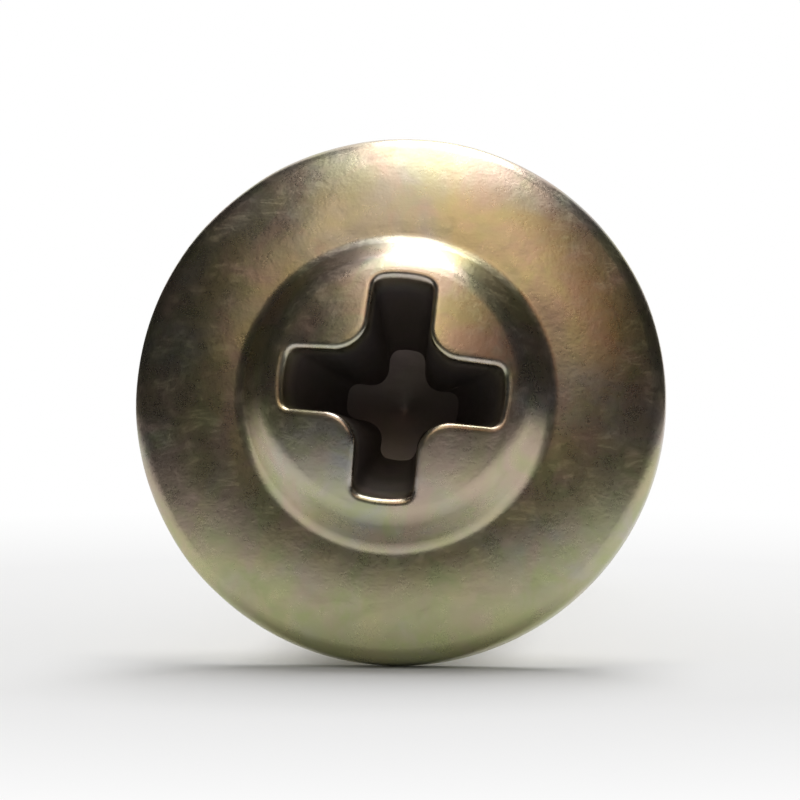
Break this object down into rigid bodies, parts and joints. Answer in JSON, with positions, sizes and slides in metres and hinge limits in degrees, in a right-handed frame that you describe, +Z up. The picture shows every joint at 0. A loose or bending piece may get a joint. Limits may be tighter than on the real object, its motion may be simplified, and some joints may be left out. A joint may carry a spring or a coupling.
{
  "type": "self-drilling screw",
  "caption": "Self-drilling sheet-metal screw with a wide modified truss head, a cross recess, a coarse tapping thread and a fluted drill point, lying on its rim and point.",
  "frame": {"origin": "under the middle of the screw's outer box, on the surface that it lies on", "axes": "+Z up; the screw lies along Y with its head towards -Y and its point towards +Y; the screw's axis is in the YZ plane, tilted 12.1 degrees so that the head end is up; X runs across the head"},
  "size_m": [0.0108, 0.0212, 0.0106],
  "materials": {
    "zinc_plated_steel": "zinc plated with a faint yellow passivate, satin, lightly drawn and scuffed"
  },
  "bodies": {
    "root": {"screw": "zinc_plated_steel"}
  },
  "joints": []
}
